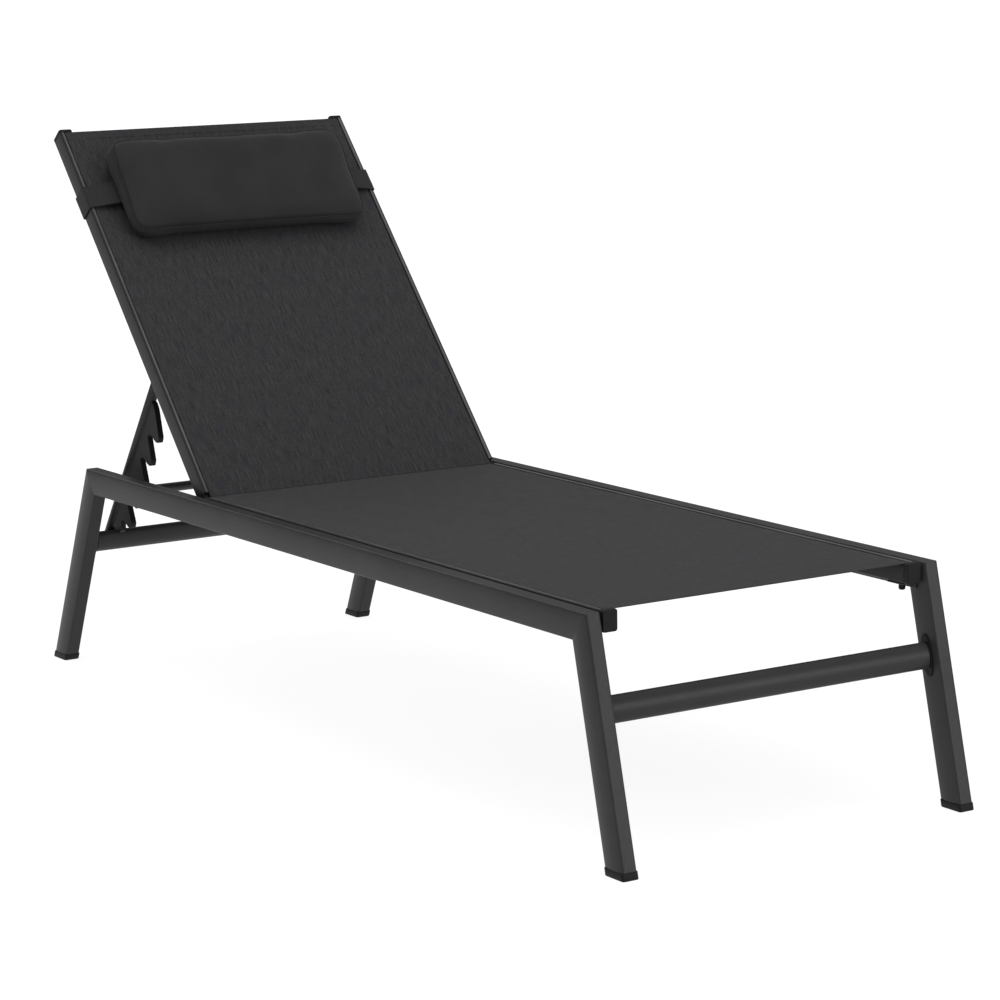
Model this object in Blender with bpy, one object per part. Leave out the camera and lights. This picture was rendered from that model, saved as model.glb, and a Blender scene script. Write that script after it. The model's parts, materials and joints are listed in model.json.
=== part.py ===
"""Reclining sun lounger: two side frames, a seat, a folding backrest and its toothed prop.

Frame: +X points to the foot end, +Z up, the floor is z = 0, and the origin lies midway
between the front and rear feet. "right" is the -Y side and "left" the +Y side.
The backrest and the prop are drawn lying flat, towards -X from their own axes, and are
then turned into place by the empties on those axes.
"""
import math

import bmesh
import bpy

# ---- driving dimensions, metres and degrees ------------------------------------------
OVERALL_WIDTH = 0.640
SIDE_HEIGHT = 0.363
FRONT_CORNER_X = 0.792
REAR_CORNER_X = -0.728
FRONT_SPLAY = 0.088
REAR_SPLAY = 0.152

TUBE_DEPTH = 0.043
TUBE_WIDTH = 0.028
TUBE_BULGE = 0.0025
TUBE_WALL = 0.0020
THIN_WALL = 0.0015
FOOT_HEIGHT = 0.012
FOOT_PROUD = 0.001
FOOT_PLUG = 0.018

STRETCHER_HEIGHT = 0.040
STRETCHER_DEPTH = 0.020
STRETCHER_Z = 0.225
PLATE_THICKNESS = 0.0025

SLING_RAIL_OUTER_Y = 0.2874
SLING_RAIL_WIDTH = 0.024
SLING_RAIL_HEIGHT = 0.031
LIP_WIDTH = 0.0075
GROOVE_WIDTH = 0.004
GROOVE_DEPTH = 0.0085
LEDGE_DROP = 0.0028
SLING_THICKNESS = 0.0014
SPLINE_RADIUS = 0.0016
RAIL_CAP_LENGTH = 0.012

BACK_ANGLE = 49.2
HINGE_X = -0.3535
BACK_LENGTH = 0.772
KNUCKLE_RADIUS = 0.0124
BACK_RAIL_START = 0.017
SLING_START = 0.0118

CROSS_TUBE_RADIUS = 0.011
SEAT_CROSS_X = (0.640, 0.120)
BACK_CROSS_AT = (0.120, 0.580)

CATCH_BAR_X = -0.621
CATCH_BAR_Z = 0.3335
CATCH_BAR_RADIUS = 0.008

PROP_AT = 0.300
PROP_ANGLE = 56.0
BRACKET_HALF = 0.014
PROP_Y = 0.2505
PROP_RADIUS = 0.00925
PROP_LENGTH = 0.422
PROP_TOP = 0.008
PROP_CROSS_RADIUS = 0.006
RACK_THICKNESS = 0.010
RACK_START = 0.094
RACK_SLOTS_AT = (0.149, 0.202, 0.252, 0.302, 0.349)

PILLOW_AT = (0.520, 0.726)
PILLOW_HALF_WIDTH = 0.246
PILLOW_THICKNESS = 0.072
PILLOW_TAPER = 0.36
STRAP_AT = (0.606, 0.650)
STRAP_THICKNESS = 0.0022

GAP = 0.0003
ROUND_STEPS = 24

HINGE_Z = SIDE_HEIGHT - SLING_RAIL_HEIGHT / 2
RAIL_HALF = SLING_RAIL_HEIGHT / 2
SLING_RAIL_INNER_Y = SLING_RAIL_OUTER_Y - SLING_RAIL_WIDTH
FRAME_INNER_Y = OVERALL_WIDTH / 2 - TUBE_WIDTH
SIDES = (("right", -1), ("left", 1))


# ---- shared building blocks ----------------------------------------------------------
def clear_scene():
    for thing in list(bpy.data.objects):
        bpy.data.objects.remove(thing, do_unlink=True)


def finish_material(name, colour, roughness, metallic):
    material = bpy.data.materials.new(name)
    material.use_nodes = True
    shader = material.node_tree.nodes["Principled BSDF"]
    shader.inputs["Base Color"].default_value = (*colour, 1.0)
    shader.inputs["Roughness"].default_value = roughness
    shader.inputs["Metallic"].default_value = metallic
    return material


def axis_empty(name, location, turn_y, parent=None):
    """An empty on an axis across the lounger, turned about Y by turn_y degrees."""
    empty = bpy.data.objects.new(name, None)
    empty.location = location
    empty.rotation_euler = (0.0, math.radians(turn_y), 0.0)
    empty.parent = parent
    bpy.context.collection.objects.link(empty)
    return empty


def add_object(name, bm, material, parent=None, location=(0, 0, 0), turn_y=0.0, smooth=False):
    bmesh.ops.recalc_face_normals(bm, faces=bm.faces)
    if bm.calc_volume(signed=True) < 0:
        bmesh.ops.reverse_faces(bm, faces=bm.faces)
    mesh = bpy.data.meshes.new(name)
    bm.to_mesh(mesh)
    bm.free()
    if smooth:
        mesh.shade_smooth()
        mesh.set_sharp_from_angle(angle=math.radians(35))
    mesh.materials.append(material)
    thing = bpy.data.objects.new(name, mesh)
    thing.location = location
    thing.rotation_euler = (0.0, math.radians(turn_y), 0.0)
    thing.parent = parent
    bpy.context.collection.objects.link(thing)
    return thing


def bevel(thing, width, segments=2, angle=40.0):
    modifier = thing.modifiers.new("edge_round", "BEVEL")
    modifier.width = width
    modifier.segments = segments
    modifier.limit_method = "ANGLE"
    modifier.angle_limit = math.radians(angle)


def cut(thing, cutter):
    """Subtract the cutter, which is only a guide and is left out of the model."""
    cutter.hide_render = True
    cutter.display_type = "WIRE"
    modifier = thing.modifiers.new("cut_" + cutter.name, "BOOLEAN")
    modifier.operation = "DIFFERENCE"
    modifier.solver = "EXACT"
    modifier.object = cutter


def prism(outline, low, high, axis):
    """A closed outline extruded from low to high along one axis.

    The outline's two numbers fill the other two axes in their X, Y, Z order.
    """
    bm = bmesh.new()
    corners = []
    for first, second in outline:
        point = [first, second]
        point.insert(axis, low)
        corners.append(bm.verts.new(point))
    face = bm.faces.new(corners)
    grown = bmesh.ops.extrude_face_region(bm, geom=[face])["geom"]
    shift = [0.0, 0.0, 0.0]
    shift[axis] = high - low
    moved = [item for item in grown if isinstance(item, bmesh.types.BMVert)]
    bmesh.ops.translate(bm, verts=moved, vec=shift)
    return bm


def hollow_prism(outer, inner, low, high, axis):
    """A tube: the ring between two outlines with equal point counts, extruded."""
    bm = bmesh.new()
    loops = []
    for outline in (outer, inner):
        loop = []
        for first, second in outline:
            point = [first, second]
            point.insert(axis, low)
            loop.append(bm.verts.new(point))
        loops.append(loop)
    count = len(outer)
    ring = []
    for step in range(count):
        after = (step + 1) % count
        ring.append(bm.faces.new((loops[0][step], loops[0][after], loops[1][after], loops[1][step])))
    grown = bmesh.ops.extrude_face_region(bm, geom=ring)["geom"]
    shift = [0.0, 0.0, 0.0]
    shift[axis] = high - low
    moved = [item for item in grown if isinstance(item, bmesh.types.BMVert)]
    bmesh.ops.translate(bm, verts=moved, vec=shift)
    return bm


def turned(profile, axis, centre=(0.0, 0.0), steps=ROUND_STEPS):
    """A solid of revolution: (position along the axis, radius) pairs joined ring by ring."""
    bm = bmesh.new()
    rings = []
    for along, radius in profile:
        ring = []
        for step in range(steps):
            turn = 2 * math.pi * step / steps
            point = [centre[0] + radius * math.cos(turn), centre[1] + radius * math.sin(turn)]
            point.insert(axis, along)
            ring.append(bm.verts.new(point))
        rings.append(ring)
    for ring, following in zip(rings, rings[1:]):
        for step in range(steps):
            after = (step + 1) % steps
            bm.faces.new((ring[step], ring[after], following[after], following[step]))
    bm.faces.new(rings[0])
    bm.faces.new(rings[-1])
    return bm


def ellipse(half_first, half_second, turn=0.0, steps=ROUND_STEPS):
    points = []
    for step in range(steps):
        angle = 2 * math.pi * step / steps
        first = half_first * math.cos(angle)
        second = half_second * math.sin(angle)
        points.append((first * math.cos(turn) - second * math.sin(turn),
                       first * math.sin(turn) + second * math.cos(turn)))
    return points


def round_box(low, high, radius, steps=4):
    """A rectangle from low to high with quarter-circle corners."""
    centres = ((high[0] - radius, high[1] - radius), (low[0] + radius, high[1] - radius),
               (low[0] + radius, low[1] + radius), (high[0] - radius, low[1] + radius))
    points = []
    for quarter, centre in enumerate(centres):
        for step in range(steps + 1):
            angle = math.pi / 2 * (quarter + step / steps)
            points.append((centre[0] + radius * math.cos(angle), centre[1] + radius * math.sin(angle)))
    return points


def bore(name, axis, centre, radius, low, high, parent=None):
    """A round cutter along an axis, in its parent's frame."""
    return add_object(name, turned(((low, radius), (high, radius)), axis, centre), METAL, parent)


# ---- side frames ---------------------------------------------------------------------
def barrel_section(inset, steps=8):
    """The side tube's section: flat top and bottom, bulged sides; depth runs to -Z."""
    half = TUBE_WIDTH / 2 - inset
    points = []
    for side in (1, -1):
        for step in range(steps + 1):
            share = step / steps if side == 1 else 1 - step / steps
            across = half - TUBE_BULGE * (2 * share - 1) ** 2
            points.append((side * across, -(inset + share * (TUBE_DEPTH - 2 * inset))))
    return points


def side_tube(name, centre_y, corner, turn, fold, start, end, material):
    """One length of side frame, its outer edge running from a corner along its own +X.

    start and end give how far along the tube its two cut faces lie at a depth below the
    outer edge; fold is 1 where the depth runs to -Z and -1 where it runs to +Z.
    """
    bm = hollow_prism(barrel_section(0.0), barrel_section(TUBE_WALL), 0.0, 1.0, 0)
    for vert in bm.verts:
        depth = -vert.co.z
        cut_face = start if vert.co.x < 0.5 else end
        vert.co.x = cut_face(depth)
        vert.co.z = -fold * depth
    place = (corner[0], centre_y, corner[1])
    return add_object(name, bm, material, location=place, turn_y=turn, smooth=True)


def leg_geometry(splay):
    """Lean of a leg from the horizontal, its length, and the mitre's slope along the tube."""
    length = math.hypot(splay, SIDE_HEIGHT)
    down = SIDE_HEIGHT / length
    out = splay / length
    return down, out, length, (1 - out) / down


def make_side_frame(side, sign):
    centre_y = sign * (OVERALL_WIDTH - TUBE_WIDTH) / 2
    rail_length = FRONT_CORNER_X - REAR_CORNER_X
    front_mitre = leg_geometry(FRONT_SPLAY)[3]
    rear_mitre = leg_geometry(REAR_SPLAY)[3]
    rail = side_tube(side + "_side_rail", centre_y, (REAR_CORNER_X, SIDE_HEIGHT), 0.0, 1,
                     lambda depth: rear_mitre * depth + GAP,
                     lambda depth: rail_length - front_mitre * depth - GAP, METAL)
    cut(rail, bore("hinge_hole_" + side, 1, (HINGE_X, HINGE_Z), 0.0043,
                   sign * (FRAME_INNER_Y - 0.006), sign * (FRAME_INNER_Y + 0.005)))
    for end, corner_x, splay, direction in (("front", FRONT_CORNER_X, FRONT_SPLAY, 1),
                                            ("rear", REAR_CORNER_X, REAR_SPLAY, -1)):
        down, out, length, mitre = leg_geometry(splay)
        turn = math.degrees(math.atan2(SIDE_HEIGHT, direction * splay))
        side_tube(f"{side}_{end}_leg", centre_y, (corner_x, SIDE_HEIGHT), turn, direction,
                  lambda depth: mitre * depth,
                  lambda depth: (SIDE_HEIGHT - FOOT_HEIGHT - GAP - out * depth) / down, METAL)
        make_foot_cap(f"{side}_{end}_foot_cap", centre_y, corner_x, splay, direction)


def make_foot_cap(name, centre_y, corner_x, splay, direction):
    """A plastic cap under a leg, with a plug that reaches up inside the tube."""
    down, out, _, _ = leg_geometry(splay)
    foot_width = TUBE_DEPTH / down
    outer_x = corner_x + direction * splay
    middle_x = outer_x - direction * foot_width / 2
    half_x = foot_width / 2 + FOOT_PROUD
    half_y = TUBE_WIDTH / 2 + FOOT_PROUD
    plug_x = (TUBE_DEPTH / 2 - TUBE_WALL - 2 * GAP) / down
    plug_y = TUBE_WIDTH / 2 - TUBE_WALL - TUBE_BULGE - 2 * GAP
    lean = -direction * out / down
    bm = bmesh.new()
    levels = ((0.0, half_x - 0.001, half_y - 0.001), (0.001, half_x, half_y),
              (FOOT_HEIGHT - 0.001, half_x, half_y), (FOOT_HEIGHT, half_x - 0.0008, half_y - 0.0008),
              (FOOT_HEIGHT, plug_x, plug_y), (FOOT_HEIGHT + FOOT_PLUG, plug_x, plug_y))
    rings = []
    for level, reach_x, reach_y in levels:
        outline = round_box((-reach_x, -reach_y), (reach_x, reach_y), 0.003)
        rings.append([bm.verts.new((middle_x + x + lean * level, centre_y + y, level))
                      for x, y in outline])
    for ring, following in zip(rings, rings[1:]):
        for step, vert in enumerate(ring):
            after = (step + 1) % len(ring)
            bm.faces.new((vert, ring[after], following[after], following[step]))
    bm.faces.new(rings[0])
    bm.faces.new(rings[-1])
    add_object(name, bm, PLASTIC)


def make_stretchers():
    """Oval tubes across the legs, each end on a small plate on the leg's inner face."""
    for end, corner_x, splay, direction in (("front", FRONT_CORNER_X, FRONT_SPLAY, 1),
                                            ("rear", REAR_CORNER_X, REAR_SPLAY, -1)):
        down, out, _, _ = leg_geometry(splay)
        outer_x = corner_x + direction * splay * (1 - STRETCHER_Z / SIDE_HEIGHT)
        shift = 0.0 if direction == 1 else 0.0035
        centre = (outer_x - direction * TUBE_DEPTH / (2 * down) + shift, STRETCHER_Z)
        lean = math.atan2(-direction * out, down)
        half_length = FRAME_INNER_Y - PLATE_THICKNESS - 3 * GAP
        outer = ellipse(STRETCHER_DEPTH / 2, STRETCHER_HEIGHT / 2, -lean)
        inner = ellipse(STRETCHER_DEPTH / 2 - THIN_WALL, STRETCHER_HEIGHT / 2 - THIN_WALL, -lean)
        bm = hollow_prism(outer, inner, -half_length, half_length, 1)
        add_object(end + "_stretcher", bm, METAL, location=(centre[0], 0.0, centre[1]), smooth=True)
        for side, sign in SIDES:
            plate = round_box((-0.011, -0.032), (0.011, 0.032), 0.0105)
            faces = sorted((sign * (FRAME_INNER_Y - 2 * GAP),
                            sign * (FRAME_INNER_Y - 2 * GAP - PLATE_THICKNESS)))
            bm = prism(plate, faces[0], faces[1], 1)
            add_object(f"{side}_{end}_stretcher_plate", bm, PLASTIC,
                       location=(centre[0], 0.0, centre[1]), turn_y=math.degrees(lean))


# ---- sling rails, shared by the seat and the backrest --------------------------------
def sling_rail_section(sign):
    """Outline in Y and Z about the hinge height: outer lip, groove, and a lower ledge."""
    outer = SLING_RAIL_OUTER_Y
    ledge = RAIL_HALF - LEDGE_DROP
    groove = (LIP_WIDTH, LIP_WIDTH + GROOVE_WIDTH)
    inward = ((0.0, -RAIL_HALF + 0.002), (0.002, -RAIL_HALF), (SLING_RAIL_WIDTH - 0.003, -RAIL_HALF),
              (SLING_RAIL_WIDTH, -RAIL_HALF + 0.003), (SLING_RAIL_WIDTH, ledge), (groove[1], ledge),
              (groove[1], RAIL_HALF - GROOVE_DEPTH), (groove[0], RAIL_HALF - GROOVE_DEPTH),
              (groove[0], RAIL_HALF), (0.0006, RAIL_HALF), (0.0, RAIL_HALF - 0.0006))
    return [(sign * (outer - step_in), height) for step_in, height in inward]


def sling_rail(name, sign, low, high, parent, location):
    return add_object(name, prism(sling_rail_section(sign), low, high, 0), METAL, parent, location)


def spline(name, sign, low, high, parent, location):
    """The plastic rod that holds the sling's hem in the groove."""
    along_y = sign * (SLING_RAIL_OUTER_Y - LIP_WIDTH - GROOVE_WIDTH / 2)
    height = RAIL_HALF - GROOVE_DEPTH + SPLINE_RADIUS + GAP
    profile = ((low, SPLINE_RADIUS), (high, SPLINE_RADIUS))
    bm = turned(profile, 0, (along_y, height), 10)
    add_object(name, bm, PLASTIC, parent, location, smooth=True)


def sling(name, low, high, parent, location):
    half = SLING_RAIL_OUTER_Y - LIP_WIDTH - 2 * GAP
    bottom = RAIL_HALF - LEDGE_DROP + GAP
    outline = ((-half, bottom), (half, bottom), (half, bottom + SLING_THICKNESS),
               (-half, bottom + SLING_THICKNESS))
    add_object(name, prism(outline, low, high, 0), SLING, parent, location)


def cross_tube(name, along, parent, location):
    half = SLING_RAIL_INNER_Y - GAP
    outer = ellipse(CROSS_TUBE_RADIUS, CROSS_TUBE_RADIUS)
    inner = ellipse(CROSS_TUBE_RADIUS - THIN_WALL, CROSS_TUBE_RADIUS - THIN_WALL)
    bm = hollow_prism(outer, inner, -half, half, 1)
    place = (location[0] + along, 0.0, location[2] - 0.0015)
    add_object(name, bm, METAL, parent, place, smooth=True)


def rail_cap(name, sign, low, high, parent, location):
    """A plastic end cap a little larger than the sling rail."""
    proud = 0.0006
    ends = sorted((sign * (SLING_RAIL_OUTER_Y + proud), sign * (SLING_RAIL_INNER_Y - proud)))
    outline = round_box((ends[0], -RAIL_HALF - proud), (ends[1], RAIL_HALF + proud), 0.003)
    cap = add_object(name, prism(outline, low, high, 0), PLASTIC, parent, location)
    bevel(cap, 0.0012)


# ---- seat ----------------------------------------------------------------------------
def make_seat():
    level = (0.0, 0.0, HINGE_Z)
    rear = HINGE_X + KNUCKLE_RADIUS + 0.0016
    front = FRONT_CORNER_X - RAIL_CAP_LENGTH - 0.001
    for side, sign in SIDES:
        rail = sling_rail(side + "_seat_rail", sign, rear, front, None, level)
        rail_cap(side + "_seat_rail_cap", sign, front + GAP, front + RAIL_CAP_LENGTH, None, level)
        spline(side + "_seat_spline", sign, rear + 0.002, front - 0.002, None, level)
        for place, lug_x in (("front", 0.760), ("rear", -0.285)):
            make_lug(f"{side}_{place}", sign, lug_x, rail)
    sling("seat_sling", HINGE_X + SLING_START, front - GAP, None, level)
    for number, along in enumerate(SEAT_CROSS_X, 1):
        cross_tube(f"seat_cross_tube_{number}", along, None, level)


def make_lug(name, sign, lug_x, rail):
    """A welded angle under the seat rail, and the hand bolt that clamps the rail to it."""
    top = HINGE_Z - RAIL_HALF - GAP
    thickness = 0.0025
    outer = FRAME_INNER_Y - 2 * GAP
    inner = SLING_RAIL_INNER_Y + 0.001
    angle = ((outer, top), (outer, top - 0.010), (outer - thickness, top - 0.010),
             (outer - thickness, top - thickness), (inner, top - thickness), (inner, top))
    outline = [(sign * y, z) for y, z in angle]
    lug = add_object(name + "_lug", prism(outline, lug_x - 0.018, lug_x + 0.018, 0), METAL)
    bolt_y = sign * (SLING_RAIL_INNER_Y + 0.0145)
    centre = (lug_x, bolt_y)
    cut(lug, bore(name + "_lug_hole", 2, centre, 0.0034, top - 0.006, top + 0.006))
    cut(rail, bore(name + "_rail_hole", 2, centre, 0.0034, top - 0.006, top + 0.011))
    below = top - thickness - GAP
    profile = ((below - 0.0105, 0.0038), (below - 0.0096, 0.0050), (below - 0.003, 0.0053),
               (below - 0.0015, 0.0046), (below, 0.0046), (below, 0.0030), (top + 0.009, 0.0030))
    add_object(name + "_hand_bolt", turned(profile, 2, centre, 16), PLASTIC, smooth=True)


def make_catch_bar():
    """The fixed bar that the prop's racks hook on, with a round foot at each side rail."""
    end = FRAME_INNER_Y - 3 * GAP
    profile = ((-end, 0.012), (-end + 0.0022, 0.012), (-end + 0.0022, CATCH_BAR_RADIUS),
               (end - 0.0022, CATCH_BAR_RADIUS), (end - 0.0022, 0.012), (end, 0.012))
    bm = turned(profile, 1, (CATCH_BAR_X, CATCH_BAR_Z))
    add_object("catch_bar", bm, METAL, smooth=True)


# ---- hinge and backrest --------------------------------------------------------------
def make_hinge_bolt(side, sign):
    """A bolt from inside, through the knuckle and into the side rail's inner wall."""
    head = SLING_RAIL_INNER_Y - GAP
    profile = ((sign * (head - 0.0045), 0.0052), (sign * (head - 0.004), 0.0065), (sign * head, 0.0065),
               (sign * head, 0.0040), (sign * (FRAME_INNER_Y + 0.010), 0.0040))
    add_object(side + "_hinge_bolt", turned(profile, 1), STEEL, location=(HINGE_X, 0.0, HINGE_Z), smooth=True)


def make_knuckle(side, sign, pivot):
    """The plastic plug in the back rail's lower end, rounded about the hinge axis."""
    outline = []
    for step in range(13):
        turn = math.pi / 2 - math.pi * step / 12
        outline.append((KNUCKLE_RADIUS * math.cos(turn), KNUCKLE_RADIUS * math.sin(turn)))
    outline.append((-BACK_RAIL_START + GAP, -KNUCKLE_RADIUS))
    outline.append((-BACK_RAIL_START + GAP, KNUCKLE_RADIUS))
    faces = sorted((sign * SLING_RAIL_INNER_Y, sign * SLING_RAIL_OUTER_Y))
    knuckle = add_object(side + "_hinge_knuckle", prism(outline, faces[0], faces[1], 1), PLASTIC, pivot)
    cut(knuckle, bore("knuckle_hole_" + side, 1, (0.0, 0.0), 0.0043, faces[0] - 0.01, faces[1] + 0.01, pivot))


def make_prop_bracket(side, sign, pivot):
    """An angle on the back rail: a flange under the rail and an ear that holds the prop."""
    outer = SLING_RAIL_OUTER_Y - 0.006
    face = SLING_RAIL_INNER_Y - GAP
    under = -RAIL_HALF - GAP
    angle = ((face, 0.010), (face, under), (outer, under), (outer, under - 0.004),
             (face - PLATE_THICKNESS, under - 0.004), (face - PLATE_THICKNESS, 0.010))
    outline = [(sign * y, z) for y, z in angle]
    bm = prism(outline, -PROP_AT - BRACKET_HALF, -PROP_AT + BRACKET_HALF, 0)
    bracket = add_object(side + "_prop_bracket", bm, METAL, pivot)
    faces = sorted((sign * (face + 0.001), sign * (face - 0.010)))
    cut(bracket, bore("bracket_hole_" + side, 1, (-PROP_AT, 0.0), 0.0043, faces[0], faces[1], pivot))


def make_backrest(pivot):
    here = (0.0, 0.0, 0.0)
    for side, sign in SIDES:
        sling_rail(side + "_back_rail", sign, -BACK_LENGTH, -BACK_RAIL_START, pivot, here)
        make_knuckle(side, sign, pivot)
        rail_cap(side + "_back_rail_cap", sign, -BACK_LENGTH - 0.006, -BACK_LENGTH - GAP, pivot, here)
        spline(side + "_back_spline", sign, -BACK_LENGTH + 0.002, -BACK_RAIL_START - 0.002, pivot, here)
        make_prop_bracket(side, sign, pivot)
        make_strap(side, sign, pivot)
    sling("back_sling", -BACK_LENGTH + GAP, -SLING_START, pivot, here)
    for number, along in enumerate(BACK_CROSS_AT, 1):
        cross_tube(f"back_cross_tube_{number}", -along, pivot, here)
    make_pillow(pivot)


def make_pillow(pivot):
    """A boxed head cushion lying on the sling, thinner towards its lower edge."""
    base = RAIL_HALF + 0.004
    height = PILLOW_AT[1] - PILLOW_AT[0]
    outline = []
    for x, z in round_box((-PILLOW_AT[1], base), (-PILLOW_AT[0], base + PILLOW_THICKNESS), 0.022):
        thinner = 1 - PILLOW_TAPER * (x + PILLOW_AT[1]) / height
        outline.append((x, base + (z - base) * thinner))
    pillow = add_object("pillow", prism(outline, -PILLOW_HALF_WIDTH, PILLOW_HALF_WIDTH, 1), PILLOW, pivot)
    bevel(pillow, 0.014, 3, 60.0)


def make_strap(side, sign, pivot):
    """An elastic band from the pillow's end, over the sling's edge and round the rail."""
    thick = STRAP_THICKNESS
    front = RAIL_HALF + 0.0006
    back = -RAIL_HALF - 0.0010
    outer = SLING_RAIL_OUTER_Y + 0.0008
    inner = SLING_RAIL_INNER_Y - 0.0012
    start = PILLOW_HALF_WIDTH + 0.0012
    hook = ((start, front), (outer, front), (outer, back), (inner, back), (inner, back + 0.018),
            (inner - thick, back + 0.018), (inner - thick, back - thick), (outer + thick, back - thick),
            (outer + thick, front + thick), (start, front + thick))
    outline = [(sign * y, z) for y, z in hook]
    bm = prism(outline, -STRAP_AT[1], -STRAP_AT[0], 0)
    add_object(side + "_pillow_strap", bm, STRAP, pivot)


# ---- prop ----------------------------------------------------------------------------
def rack_outline():
    """Five slender hooks over V-shaped slots; the straight back lies against the tube."""
    back = -(PROP_RADIUS + 0.0004)
    floor = -0.0290
    tip = -0.0640
    points = [(-RACK_START, back), (-RACK_START, -0.015), (-RACK_START - 0.0035, -0.0235)]
    for before, edge in zip((RACK_START,) + RACK_SLOTS_AT, RACK_SLOTS_AT):
        points.append((-(before + 0.0080), floor - 0.0005))
        points.append((-(edge - 0.0180), tip + 0.005))
        points.append((-(edge - 0.0140), tip + 0.001))
        points.append((-(edge - 0.0080), tip))
        points.append((-(edge - 0.0045), tip + 0.003))
        points.append((-(edge - 0.0030), tip + 0.013))
        points.append((-(edge - 0.0035), floor - 0.009))
        points.append((-(edge + 0.0020), floor - 0.001))
        points.append((-(edge + 0.0055), floor))
    points.append((-(edge + 0.0200), floor - 0.010))
    points.append((-(edge + 0.0290), floor - 0.007))
    points.append((-(edge + 0.0340), back))
    return points


def make_prop(pivot):
    for side, sign in SIDES:
        centre = (sign * PROP_Y, 0.0)
        outer = [(y + centre[0], z) for y, z in ellipse(PROP_RADIUS, PROP_RADIUS)]
        inner = [(y + centre[0], z) for y, z in ellipse(PROP_RADIUS - THIN_WALL, PROP_RADIUS - THIN_WALL)]
        tube = add_object(side + "_prop_tube", hollow_prism(outer, inner, -PROP_LENGTH, PROP_TOP, 0), METAL,
                          pivot, smooth=True)
        faces = sorted((sign * (PROP_Y - 0.015), sign * (PROP_Y + 0.015)))
        cut(tube, bore("prop_hole_" + side, 1, (0.0, 0.0), 0.0043, faces[0], faces[1], pivot))
        faces = sorted((sign * PROP_Y - RACK_THICKNESS / 2, sign * PROP_Y + RACK_THICKNESS / 2))
        add_object(side + "_rack", prism(rack_outline(), faces[0], faces[1], 1), PLASTIC, pivot)
        head = PROP_Y - PROP_RADIUS - GAP
        profile = ((sign * (head - 0.0045), 0.0050), (sign * (head - 0.004), 0.0065), (sign * head, 0.0065),
                   (sign * head, 0.0040), (sign * (SLING_RAIL_INNER_Y - GAP), 0.0040))
        add_object(side + "_prop_bolt", turned(profile, 1), STEEL, pivot, smooth=True)
    half = PROP_Y - PROP_RADIUS - GAP
    outer = ellipse(PROP_CROSS_RADIUS, PROP_CROSS_RADIUS)
    inner = ellipse(PROP_CROSS_RADIUS - THIN_WALL, PROP_CROSS_RADIUS - THIN_WALL)
    add_object("prop_cross_tube", hollow_prism(outer, inner, -half, half, 1), METAL, pivot,
               (-PROP_LENGTH + PROP_CROSS_RADIUS, 0.0, 0.0), smooth=True)


clear_scene()
METAL = finish_material("anthracite_metal", (0.060, 0.061, 0.064), 0.48, 0.6)
PLASTIC = finish_material("black_plastic", (0.018, 0.018, 0.019), 0.55, 0.0)
STEEL = finish_material("black_steel", (0.045, 0.045, 0.047), 0.4, 0.8)
SLING = finish_material("sling_mesh", (0.035, 0.036, 0.040), 0.85, 0.0)
PILLOW = finish_material("pillow_cloth", (0.028, 0.028, 0.030), 0.9, 0.0)
STRAP = finish_material("strap_elastic", (0.020, 0.020, 0.022), 0.8, 0.0)

back_pivot = axis_empty("back_pivot", (HINGE_X, 0.0, HINGE_Z), BACK_ANGLE)
prop_pivot = axis_empty("prop_pivot", (-PROP_AT, 0.0, 0.0), -(BACK_ANGLE + PROP_ANGLE), back_pivot)

for side_name, side_sign in SIDES:
    make_side_frame(side_name, side_sign)
    make_hinge_bolt(side_name, side_sign)
make_stretchers()
make_seat()
make_catch_bar()
make_backrest(back_pivot)
make_prop(prop_pivot)
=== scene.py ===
"""Looks of a reclining sun lounger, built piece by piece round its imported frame."""
import json
import math

import bmesh
import bpy
import numpy as np
from mathutils import Matrix, Vector


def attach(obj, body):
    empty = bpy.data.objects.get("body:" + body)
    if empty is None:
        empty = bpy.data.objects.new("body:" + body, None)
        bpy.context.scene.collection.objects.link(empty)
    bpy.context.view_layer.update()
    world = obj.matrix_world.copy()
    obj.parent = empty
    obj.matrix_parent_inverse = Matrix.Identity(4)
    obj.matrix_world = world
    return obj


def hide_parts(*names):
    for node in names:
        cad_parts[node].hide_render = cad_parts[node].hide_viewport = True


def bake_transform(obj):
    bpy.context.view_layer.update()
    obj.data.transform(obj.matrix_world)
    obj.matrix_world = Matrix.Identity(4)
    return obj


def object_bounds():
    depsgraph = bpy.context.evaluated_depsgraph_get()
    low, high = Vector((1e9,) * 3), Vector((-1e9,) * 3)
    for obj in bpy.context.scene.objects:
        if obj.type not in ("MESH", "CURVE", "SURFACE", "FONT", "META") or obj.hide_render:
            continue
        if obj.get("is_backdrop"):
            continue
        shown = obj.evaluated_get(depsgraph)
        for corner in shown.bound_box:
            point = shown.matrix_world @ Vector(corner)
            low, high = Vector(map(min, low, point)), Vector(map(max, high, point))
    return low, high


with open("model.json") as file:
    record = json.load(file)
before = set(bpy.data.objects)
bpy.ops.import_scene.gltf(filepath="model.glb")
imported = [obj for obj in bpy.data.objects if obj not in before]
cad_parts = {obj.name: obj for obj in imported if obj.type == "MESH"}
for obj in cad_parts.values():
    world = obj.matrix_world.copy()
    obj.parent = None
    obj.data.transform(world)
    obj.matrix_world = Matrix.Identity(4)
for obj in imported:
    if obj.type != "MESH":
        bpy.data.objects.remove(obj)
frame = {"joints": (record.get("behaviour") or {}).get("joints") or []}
cad_low, cad_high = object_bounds()
joints = {joint["name"]: joint for joint in frame["joints"]}
SIDES = (("right", -1), ("left", 1))


# ---- camera ----------------------------------------------------------------------------
# A long lens, low and to the right of the foot end, with a very slight tilt to one side.
CAMERA_AT = (4.5059, -2.9186, 1.3295)
CAMERA_BACK = (0.8207, -0.5439, 0.1750)
CAMERA_TILT = -0.0119
LENS = 120.99

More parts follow.
